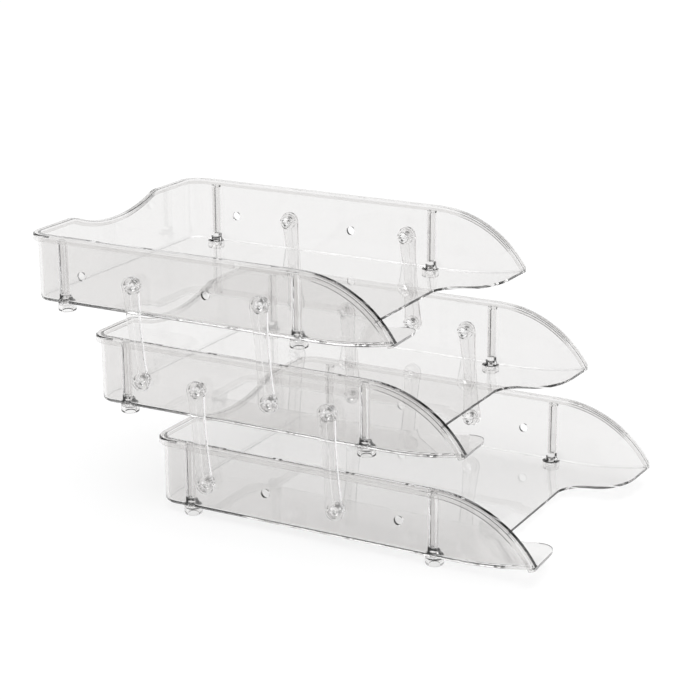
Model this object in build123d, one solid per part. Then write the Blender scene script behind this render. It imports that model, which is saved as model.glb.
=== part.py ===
from build123d import *
import os
from math import asin, atan2, cos, degrees, radians, sin

# A set of three clear letter trays in a stepped cascade. Each tray hangs over the one
# below on four link arms, two at each side, that snap into round holes in the side walls.
# Millimetres. +X is to the right as seen from the open front, +Y to the back, +Z up.
# The origin is on the ground, under the middle of the whole set.
# One tray is drawn with X = 0 at mid-width, Y = 0 midway between its front and rear
# feet, and Z = 0 on the underside of its floor.

# Tray shell
TRAY_WIDTH = 250.0
TRAY_BACK = 144.3
TRAY_TIP = -203.8
WALL_HEIGHT = 58.75
WALL = 2.4
FLOOR = 2.3
CORNER_RADIUS = 15.0
BOTTOM_RADIUS = 3.0
INSIDE_RADIUS = 2.0

# Floor lip, which curves up towards the front
LIP_START = -133.0
LIP_RISE = 8.0

# Side wall crest, which falls in one arc from the full height to the tip
CREST_START = -117.5
CREST_TIP_HEIGHT = 10.9

# Rolled rim: a flange around the outside with a turned-down skirt
RIM_FLANGE = 4.2
RIM_PLATE = 2.2
RIM_DEPTH = 5.5
RIM_SKIRT = 1.8
RIM_TIP_RADIUS = 3.0
RIM_ROUNDING = 1.6
RIM_SEAM = 122.0

# Dip in the back wall
DIP_HALF_WIDTH = 62.0
DIP_DEPTH = 12.4
DIP_ROUNDING = 24.0

# Finger notch in the front of the floor, between two tabs
NOTCH_HALF_WIDTH = 69.0
NOTCH_DEPTH = 55.0
NOTCH_CORNER = 20.0
TAB_SWEEP = 2.5
TAB_CORNER = 24.0

# Hollow corner posts in the side walls, each over a conical socket boss for a foot
POST_Y = 114.0
POST_INSET = 4.3
POST_RADIUS = 4.3
POST_BORE = 2.9
POST_TOP = 55.0
POST_CAP = 1.8
POST_VENT = 1.5
SOCKET_BASE = 7.4
SOCKET_TOP = 4.6
SOCKET_HEIGHT = 6.0
SOCKET_BORE = 3.0
SOCKET_DEPTH = 4.2

# Feet
FOOT_INSET = 6.4
FOOT_RADIUS = 7.7
FOOT_HEIGHT = 7.05
FOOT_STEM = 2.95
FOOT_STEM_LENGTH = 3.9
FOOT_RECESS = 4.6
FOOT_RECESS_DEPTH = 5.0
FOOT_ROUNDING = 1.2

# Link holes. Holes A carry the arms of the tray above, holes B hang from the tray below.
HOLE_RADIUS = 4.0
HOLE_HEIGHT = 26.35
HOLE_A_REAR = 93.5
HOLE_B_REAR = 38.9
LINK_SPACING = 123.4

# Link arms
ARM_LEAN = radians(4.64)
ARM_LENGTH = 81.63
ARM_END_RADIUS = 8.25
ARM_WAIST = 6.25
ARM_THICKNESS = 3.0
ARM_STANDOFF = 5.2
ARM_RIB_WIDTH = 1.0
ARM_RIB_HEIGHT = 0.8
ARM_GAP = 0.3
ARM_ROUNDING = 0.8
BOSS_RADIUS = 7.0
BOSS_BORE = 5.4
PIN_RADIUS = 3.95
PIN_LIP = 5.2
PIN_LIP_LENGTH = 2.2
PIN_NOSE = 3.4
PIN_SLOT = 1.8

# Places of the trays in the set
STEP_BACK = HOLE_A_REAR - HOLE_B_REAR + ARM_LENGTH * sin(ARM_LEAN)
STEP_UP = ARM_LENGTH * cos(ARM_LEAN)
ORIGIN_Y = (TRAY_TIP + TRAY_BACK + RIM_FLANGE + 2 * STEP_BACK) / 2
LEVELS = {"bottom": 0, "middle": 1, "top": 2}
SIDES = {"left": -1, "right": 1}
ROWS = {"rear": 1, "front": -1}

FAR = 400.0
CLOSE = 0.01
ON_BASE = (Align.CENTER, Align.CENTER, Align.MIN)
HALF_WIDTH = TRAY_WIDTH / 2


def place(level, y=0.0, z=0.0):
    """Location in the set of a point given in one tray's own frame."""
    return Pos(0, y + level * STEP_BACK - ORIGIN_Y, z + level * STEP_UP + FOOT_HEIGHT)


def plan(outset, front):
    """Outline from above: square at the front, rounded at the two back corners."""
    half = HALF_WIDTH + outset
    back = TRAY_BACK + outset
    corners = Polyline((-half, front), (-half, back), (half, back), (half, front), close=True)
    face = make_face(corners)
    return fillet(face.vertices().sort_by(Axis.Y)[-2:], CORNER_RADIUS + outset)


def rim_plan():
    """Outline of the rim from above, with the ends of the flange rounded at the tips."""
    face = plan(RIM_FLANGE, TRAY_TIP)
    return fillet(face.vertices().sort_by(Axis.Y)[:2], RIM_TIP_RADIUS)


def column(face, low=0.0, high=WALL_HEIGHT):
    """Upright solid on a plan outline."""
    return Pos(0, 0, low) * extrude(face, high - low)


def across(face):
    """Solid that runs across the whole tray from a side-view outline in (Y, Z)."""
    return extrude(Plane.YZ * face, FAR, both=True)


def over_side_crest(drop):
    """Side view of the space over the side wall's crest, lowered square to it by drop."""
    run = CREST_START - TRAY_TIP
    fall = WALL_HEIGHT - CREST_TIP_HEIGHT
    slope = 2 * atan2(fall, run)
    start = (CREST_START, WALL_HEIGHT - drop)
    tip = (TRAY_TIP + drop * sin(slope), CREST_TIP_HEIGHT - drop * cos(slope))
    end = (tip[0] - WALL_HEIGHT * cos(slope), tip[1] - WALL_HEIGHT * sin(slope))
    crest = Line((FAR, start[1]), start) + TangentArc(start, tip, tangent=(-1, 0))
    crest += Polyline(tip, end, (-FAR, end[1]), (-FAR, FAR), (FAR, FAR), (FAR, start[1]))
    return make_face(crest)


def over_back_crest(drop):
    """Back view of the space over the back wall's crest, lowered square to it by drop."""
    radius = (DIP_HALF_WIDTH**2 + DIP_DEPTH**2) / (2 * DIP_DEPTH)
    centre = WALL_HEIGHT - DIP_DEPTH + radius
    above = Pos(0, (FAR + WALL_HEIGHT - drop) / 2) * Rectangle(2 * FAR, FAR - WALL_HEIGHT + drop)
    space = above + Pos(0, centre) * Circle(radius + drop)
    corners = [v for v in space.vertices() if abs(v.Y - WALL_HEIGHT + drop) < CLOSE and abs(v.X) < FAR / 2]
    return fillet(corners, DIP_ROUNDING - drop)


def back_space(drop):
    """Solid of the space over the back wall's crest, behind the rim seam."""
    face = Plane.XZ * over_back_crest(drop)
    return Pos(0, RIM_SEAM, 0) * extrude(face, -FAR)


def side_space(drop):
    """Solid of the space over the side wall's crest, in front of the rim seam."""
    keep = Pos(0, RIM_SEAM - FAR / 2, 0) * Box(2 * FAR, FAR, 2 * FAR)
    return across(over_side_crest(drop)) & keep


def rim_band(inset, outset, top, bottom):
    """Two sides and the rear of a band along the crest, between two plan outlines and two depths."""
    outline = rim_plan() if outset == RIM_FLANGE else plan(outset, -FAR)
    ring = column(outline) - column(plan(inset, -FAR)) - across(underside(0))
    sides = (ring & side_space(bottom)) - side_space(top)
    rear = (ring & back_space(bottom)) - back_space(top)
    return [*sides.solids(), *rear.solids()]


def rim():
    """The rolled rim: a band round the outside with a rounded top, hollow from below."""
    pieces = []
    for band in rim_band(-WALL, RIM_FLANGE, 0, RIM_DEPTH):
        reach = band.bounding_box()
        outer = max(reach.max.X, -reach.min.X)
        flat = [e for e in band.edges() if e.bounding_box().min.Z > WALL_HEIGHT - CLOSE]
        rear = [e for e in flat if e.center().Y > TRAY_BACK + RIM_FLANGE - CLOSE]
        side = [e for e in flat if abs(e.center().X) > outer - CLOSE]
        pieces.append(fillet(rear or side, RIM_ROUNDING))
    whole = pieces[0] + pieces[1:]
    return whole - rim_band(0, RIM_FLANGE - RIM_SKIRT, RIM_PLATE, 2 * RIM_DEPTH)


def underside(rise):
    """Side view of the space below the floor's underside, or below a line rise above it."""
    radius = ((LIP_START - TRAY_TIP) ** 2 + LIP_RISE**2) / (2 * LIP_RISE)
    slope = asin((LIP_START - TRAY_TIP) / radius)
    inner = radius - rise
    start = (LIP_START, rise)
    reach = slope + radians(1.5)
    end = (LIP_START - inner * sin(reach), rise + inner * (1 - cos(reach)))
    line = Line((FAR, rise), start)
    line += TangentArc(start, end, tangent=(-1, 0))
    line += Polyline(end, (-FAR, end[1]), (-FAR, -FAR), (FAR, -FAR), (FAR, rise))
    return make_face(line)


def bottom_edges(solid):
    """Edges around the bottom of a tray-shaped solid, without its seams across the floor."""
    low = [e for e in solid.edges() if e.bounding_box().max.Z < LIP_RISE + FLOOR + 1]
    return [e for e in low if abs(e.center().X) > 1 or e.center().Y > TRAY_BACK / 2]


def block():
    """The tray as a full block, with its outside bottom edges rounded."""
    body = column(plan(0, TRAY_TIP)) - across(underside(0))
    return fillet(bottom_edges(body), BOTTOM_RADIUS) - side_space(0) - back_space(0)


def cavity():
    """The space inside the tray, open at the top and the front."""
    space = column(plan(-WALL, -FAR), 0, FAR) - across(underside(FLOOR))
    return fillet(bottom_edges(space), INSIDE_RADIUS)


def notch():
    """The finger notch and the space in front of the two swept-back tabs."""
    lip = TRAY_TIP + TAB_SWEEP
    inner = TRAY_TIP + NOTCH_DEPTH
    right = [(FAR, TRAY_TIP - FAR), (FAR, TRAY_TIP), (HALF_WIDTH, TRAY_TIP), (NOTCH_HALF_WIDTH, lip)]
    right.append((NOTCH_HALF_WIDTH, inner))
    left = [(-x, y) for x, y in reversed(right)]
    face = make_face(Polyline(*right, *left, close=True))
    inside = [v for v in face.vertices() if abs(abs(v.X) - NOTCH_HALF_WIDTH) < CLOSE]
    face = fillet([v for v in inside if v.Y < lip + 1], TAB_CORNER)
    face = fillet([v for v in face.vertices() if v.Y > inner - 1], NOTCH_CORNER)
    return column(face, -FOOT_HEIGHT, CREST_TIP_HEIGHT + FLOOR)


def at_corners(shape, inset):
    """Copies of a shape at the four corners of a tray, in from its side walls."""
    x = HALF_WIDTH - inset
    return [Pos(i * x, j * POST_Y, 0) * shape for i in SIDES.values() for j in ROWS.values()]


def cylinder(radius, low, high):
    """Upright cylinder between two heights."""
    return Pos(0, 0, low) * Cylinder(radius, high - low, align=ON_BASE)


def tray():
    """One moulded tray in its own frame."""
    outside = block()
    shell = outside - cavity() - notch()
    boss = Cone(SOCKET_BASE, SOCKET_TOP, SOCKET_HEIGHT, align=ON_BASE)
    post = cylinder(POST_RADIUS, 0, POST_TOP)
    for solid in at_corners(boss, FOOT_INSET) + at_corners(post, POST_INSET):
        shell += solid & outside
    shell += rim()
    socket = cylinder(SOCKET_BORE, -FOOT_HEIGHT, SOCKET_DEPTH)
    bore = cylinder(POST_BORE, SOCKET_HEIGHT + WALL, POST_TOP - POST_CAP)
    bore += cylinder(POST_VENT, POST_TOP - 2 * POST_CAP, POST_TOP)
    for hollow in at_corners(socket, FOOT_INSET) + at_corners(bore, POST_INSET):
        shell -= hollow
    for y in (HOLE_A_REAR, HOLE_B_REAR, HOLE_A_REAR - LINK_SPACING, HOLE_B_REAR - LINK_SPACING):
        shell -= Pos(0, y, HOLE_HEIGHT) * Rot(0, 90, 0) * Cylinder(HOLE_RADIUS, 2 * FAR)
    return shell


def foot():
    """Push-in foot: a hollow peg below the floor, with a stem up into the socket."""
    head = cylinder(FOOT_RADIUS, -FOOT_HEIGHT, 0)
    head = fillet(head.edges().sort_by(Axis.Z)[0], FOOT_ROUNDING)
    stem = cylinder(FOOT_STEM, -FOOT_ROUNDING, FOOT_STEM_LENGTH)
    return head + stem - cylinder(FOOT_RECESS, -FOOT_HEIGHT, FOOT_RECESS_DEPTH - FOOT_HEIGHT)


def arm_plate():
    """Flat bar in (Y, Z) with round ends on the two pins and a slightly narrower waist."""
    half = ARM_LENGTH / 2
    flank = (half**2 + ARM_WAIST**2 - ARM_END_RADIUS**2) / (2 * (ARM_END_RADIUS - ARM_WAIST))
    share = ARM_END_RADIUS / (flank + ARM_END_RADIUS)
    y = share * (flank + ARM_WAIST)
    z = share * half
    right = ThreePointArc((y, z), (ARM_WAIST, half), (y, ARM_LENGTH - z))
    left = ThreePointArc((-y, ARM_LENGTH - z), (-ARM_WAIST, half), (-y, z))
    bar = make_face(right + left + Line((y, ARM_LENGTH - z), (-y, ARM_LENGTH - z)) + Line((-y, z), (y, z)))
    return bar + Circle(ARM_END_RADIUS) + Pos(0, ARM_LENGTH) * Circle(ARM_END_RADIUS)


def pin_cylinder(radius, low, high):
    """Cylinder about the pin's axis, between two places measured outward from the wall."""
    centred = Rot(0, 90, 0) * Cylinder(radius, high - low)
    return Pos((low + high) / 2, 0, 0) * centred


def snap_pin():
    """Split snap pin: ring boss outside the wall, shank through it, lips inside it."""
    boss = pin_cylinder(BOSS_RADIUS, ARM_GAP, ARM_STANDOFF) - pin_cylinder(BOSS_BORE, ARM_GAP, ARM_STANDOFF)
    lip_start = -WALL - ARM_GAP
    lip_end = lip_start - PIN_LIP_LENGTH
    shank = pin_cylinder(PIN_RADIUS, lip_start, ARM_STANDOFF)
    cone = Cone(PIN_LIP, PIN_NOSE, PIN_LIP_LENGTH, align=ON_BASE)
    lip = Pos(lip_start, 0, 0) * Rot(0, -90, 0) * cone
    slot_length = ARM_STANDOFF - lip_end
    slot = Pos(lip_end + slot_length / 2, 0, 0) * Box(slot_length, 4 * BOSS_RADIUS, PIN_SLOT)
    return boss + shank + lip - slot


def arm():
    """Link arm for the right side, upright, with its lower pin on the X axis."""
    plate = Pos(ARM_STANDOFF, 0, 0) * extrude(Plane.YZ * arm_plate(), ARM_THICKNESS)
    plate = fillet(plate.faces().sort_by(Axis.X)[-1].edges(), ARM_ROUNDING)
    rib_length = ARM_LENGTH - 2 * BOSS_RADIUS
    rib = Box(ARM_RIB_HEIGHT * 2, ARM_RIB_WIDTH, rib_length)
    rib = Pos(ARM_STANDOFF + ARM_THICKNESS, 0, ARM_LENGTH / 2) * rib
    return plate + rib + snap_pin() + Pos(0, 0, ARM_LENGTH) * snap_pin()


def main():
    """Write one STEP file per piece."""
    os.makedirs("parts", exist_ok=True)
    pieces = {}
    one_tray = tray()
    one_foot = foot()
    right_arm = Pos(HALF_WIDTH, 0, 0) * Rot(-degrees(ARM_LEAN), 0, 0) * arm()
    arms = {"right": right_arm, "left": mirror(right_arm, Plane.YZ)}
    for level, index in LEVELS.items():
        pieces[f"tray_{level}"] = place(index) * one_tray
        for side, i in SIDES.items():
            for row, j in ROWS.items():
                spot = Pos(i * (HALF_WIDTH - FOOT_INSET), j * POST_Y, 0)
                pieces[f"{level}_{side}_{row}_foot"] = place(index) * spot * one_foot
    for level, index in {"lower": 0, "upper": 1}.items():
        for row, y in {"rear": HOLE_A_REAR, "front": HOLE_A_REAR - LINK_SPACING}.items():
            for side in SIDES:
                pieces[f"{level}_{side}_{row}_arm"] = place(index, y, HOLE_HEIGHT) * arms[side]
    for name, shape in pieces.items():
        export_step(shape, f"parts/{name}.step")


main()
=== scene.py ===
import math

import bpy
from mathutils import Matrix, Vector


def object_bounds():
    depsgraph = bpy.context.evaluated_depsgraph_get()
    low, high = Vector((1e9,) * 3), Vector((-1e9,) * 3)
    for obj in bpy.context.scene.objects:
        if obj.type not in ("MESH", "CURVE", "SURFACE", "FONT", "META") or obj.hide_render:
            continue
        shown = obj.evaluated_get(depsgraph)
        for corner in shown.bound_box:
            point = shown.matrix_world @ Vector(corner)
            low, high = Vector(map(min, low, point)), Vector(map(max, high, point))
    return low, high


# Three crystal-clear letter trays on swinging link arms, standing on a white studio floor.
# Every piece keeps its moulded shape from the frame. This script gives them their plastic,
# and sets up the floor, the light and the camera. Lengths are in metres.

# Camera: its aim is an offset from the middle of the object's box
CAMERA_AZIMUTH = math.radians(-61.41)
CAMERA_ELEVATION = math.radians(17.39)
CAMERA_ROLL = math.radians(-0.21)
CAMERA_DISTANCE = 1.665
CAMERA_AIM = Vector((0.0052, -0.0041, 0.0087))
SENSOR = 36.0
LENS = 98.96
CLIP_END = 100.0

# Floor: its own glow keeps it white under the trays, and its grey takes a faint shadow
FLOOR_RADIUS = 12.0
FLOOR_CORNERS = 96
FLOOR_GLOW = 0.83
FLOOR_GREY = 0.15
FLOOR_ROUGHNESS = 0.9

# Studio light, by how far up it comes from (0 at the horizon, 1 overhead)
BAND_TOP = 0.36
DARK_FROM = 0.42
DARK_TO = 0.80
SOFTBOX_FROM = 0.86
HORIZON_LIGHT = 1.0
DARK_LIGHT = 0.16
SOFTBOX_LIGHT = 4.0

# Light paths: rays cross many clear walls, and those trapped inside a wall go dark at its edges
BOUNCES = 48
INNER_BOUNCES = 22

# Clear plastics: tint, haze and ripple
TRAY_PLASTIC = ((0.862, 0.856, 0.852), 0.02, 0.05)
ARM_PLASTIC = ((0.915, 0.912, 0.91), 0.025, 0.05)
FOOT_PLASTIC = ((0.9, 0.897, 0.895), 0.03, 0.08)
PLASTIC_IOR = 1.59
SCUFF_SCALE = 260.0
SCUFF_DETAIL = 6.0
SCUFF_ROUGHNESS = 0.6
LEAST_HAZE = 0.4
RIPPLE_SCALE = 34.0
RIPPLE_DETAIL = 2.0
RIPPLE_ROUGHNESS = 0.5
RIPPLE_DEPTH = 0.0004


def node(tree, kind, **inputs):
    """Adds a shader node and sets its inputs by name, with spaces written as underscores."""
    made = tree.nodes.new(kind)
    for name, value in inputs.items():
        made.inputs[name.replace("_", " ")].default_value = value
    return made


def noise(tree, scale, detail, roughness):
    """Procedural noise in the object's own coordinates, in metres."""
    place = node(tree, "ShaderNodeTexCoord")
    made = node(tree, "ShaderNodeTexNoise", Scale=scale, Detail=detail, Roughness=roughness)
    tree.links.new(place.outputs["Object"], made.inputs["Vector"])
    return made.outputs["Fac"]


def spread(tree, value, low, high):
    """Maps a 0 to 1 value on to a range."""
    made = node(tree, "ShaderNodeMapRange", To_Min=low, To_Max=high)
    tree.links.new(value, made.inputs["Value"])
    return made.outputs["Result"]


def clear_plastic(name, tint, haze, ripple):
    """Polished clear polystyrene with a faint tint, soft scuffs and the slight ripple of a moulding."""
    material = bpy.data.materials.new(name)
    material.use_nodes = True
    tree = material.node_tree
    shader = tree.nodes["Principled BSDF"]
    shader.inputs["IOR"].default_value = PLASTIC_IOR
    shader.inputs["Transmission Weight"].default_value = 1.0
    shader.inputs["Base Color"].default_value = (*tint, 1.0)
    scuffs = noise(tree, SCUFF_SCALE, SCUFF_DETAIL, SCUFF_ROUGHNESS)
    tree.links.new(spread(tree, scuffs, haze * LEAST_HAZE, haze), shader.inputs["Roughness"])
    bump = node(tree, "ShaderNodeBump", Strength=ripple, Distance=RIPPLE_DEPTH)
    waves = noise(tree, RIPPLE_SCALE, RIPPLE_DETAIL, RIPPLE_ROUGHNESS)
    tree.links.new(waves, bump.inputs["Height"])
    tree.links.new(bump.outputs["Normal"], shader.inputs["Normal"])
    return material


def dress(frame):
    """Puts the clear plastics on the trays, arms and feet."""
    plastics = {
        "tray": clear_plastic("clear_tray_plastic", *TRAY_PLASTIC),
        "arm": clear_plastic("clear_arm_plastic", *ARM_PLASTIC),
        "foot": clear_plastic("clear_foot_plastic", *FOOT_PLASTIC),
    }
    for name, piece in frame["nodes"].items():
        kind = next(key for key in plastics if key in name.split("_"))
        for slot in piece.material_slots:
            slot.material = plastics[kind]


def studio_floor():
    """A round white floor, mostly lit by its own glow."""
    turn = 2 * math.pi / FLOOR_CORNERS
    angles = [i * turn for i in range(FLOOR_CORNERS)]
    ring = [(FLOOR_RADIUS * math.cos(a), FLOOR_RADIUS * math.sin(a), 0) for a in angles]
    mesh = bpy.data.meshes.new("studio_floor")
    mesh.from_pydata(ring, [], [range(FLOOR_CORNERS)])
    floor = bpy.data.objects.new("studio_floor", mesh)
    bpy.context.scene.collection.objects.link(floor)
    material = bpy.data.materials.new("studio_floor")
    material.use_nodes = True
    shader = material.node_tree.nodes["Principled BSDF"]
    shader.inputs["Base Color"].default_value = (FLOOR_GREY, FLOOR_GREY, FLOOR_GREY, 1)
    shader.inputs["Roughness"].default_value = FLOOR_ROUGHNESS
    shader.inputs["Specular IOR Level"].default_value = 0.0
    shader.inputs["Emission Color"].default_value = (1, 1, 1, 1)
    shader.inputs["Emission Strength"].default_value = FLOOR_GLOW
    mesh.materials.append(material)


def studio_light():
    """Soft light round the horizon and from a softbox overhead, with a dark band between them."""
    world = bpy.data.worlds.new("studio")
    bpy.context.scene.world = world
    world.use_nodes = True
    tree = world.node_tree
    place = node(tree, "ShaderNodeTexCoord")
    split = node(tree, "ShaderNodeSeparateXYZ")
    tree.links.new(place.outputs["Generated"], split.inputs["Vector"])
    ramp = node(tree, "ShaderNodeValToRGB")
    stops = [
        (BAND_TOP, HORIZON_LIGHT / SOFTBOX_LIGHT),
        (DARK_FROM, DARK_LIGHT / SOFTBOX_LIGHT),
        (DARK_TO, DARK_LIGHT / SOFTBOX_LIGHT),
        (SOFTBOX_FROM, 1.0),
    ]
    ramp.color_ramp.interpolation = "EASE"
    while len(ramp.color_ramp.elements) < len(stops):
        ramp.color_ramp.elements.new(0.5)
    for element, (height, level) in zip(ramp.color_ramp.elements, stops):
        element.position = height
        element.color = (level, level, level, 1)
    tree.links.new(split.outputs["Z"], ramp.inputs["Fac"])
    background = tree.nodes["Background"]
    background.inputs["Strength"].default_value = SOFTBOX_LIGHT
    tree.links.new(ramp.outputs["Color"], background.inputs["Color"])


def camera(low, high):
    """The camera at the viewing angle, aimed near the middle of the object."""
    data = bpy.data.cameras.new("camera")
    data.sensor_width = SENSOR
    data.lens = LENS
    data.clip_end = CLIP_END
    made = bpy.data.objects.new("camera", data)
    bpy.context.scene.collection.objects.link(made)
    aim = (low + high) / 2 + CAMERA_AIM
    flat = math.cos(CAMERA_ELEVATION)
    x = math.sin(CAMERA_AZIMUTH) * flat
    y = -math.cos(CAMERA_AZIMUTH) * flat
    back = Vector((x, y, math.sin(CAMERA_ELEVATION)))
    turn = back.to_track_quat("Z", "Y").to_matrix().to_4x4() @ Matrix.Rotation(CAMERA_ROLL, 4, "Z")
    made.matrix_world = Matrix.Translation(aim + back * CAMERA_DISTANCE) @ turn
    bpy.context.scene.camera = made


def light_paths():
    """Enough bounces for rays that cross all three trays, with colours shown as they are."""
    scene = bpy.context.scene
    scene.cycles.max_bounces = BOUNCES
    scene.cycles.transmission_bounces = BOUNCES
    scene.cycles.glossy_bounces = INNER_BOUNCES
    scene.cycles.transparent_max_bounces = BOUNCES
    scene.view_settings.view_transform = "Standard"


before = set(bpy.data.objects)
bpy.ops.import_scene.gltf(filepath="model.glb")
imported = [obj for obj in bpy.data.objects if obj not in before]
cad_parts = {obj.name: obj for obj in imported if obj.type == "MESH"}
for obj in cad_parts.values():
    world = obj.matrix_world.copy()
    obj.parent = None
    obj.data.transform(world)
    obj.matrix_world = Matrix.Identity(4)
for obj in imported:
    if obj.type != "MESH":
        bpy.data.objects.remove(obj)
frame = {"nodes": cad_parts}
bpy.context.view_layer.update()
cad_low, cad_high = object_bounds()
dress(frame)
studio_floor()
studio_light()
camera(cad_low, cad_high)
light_paths()
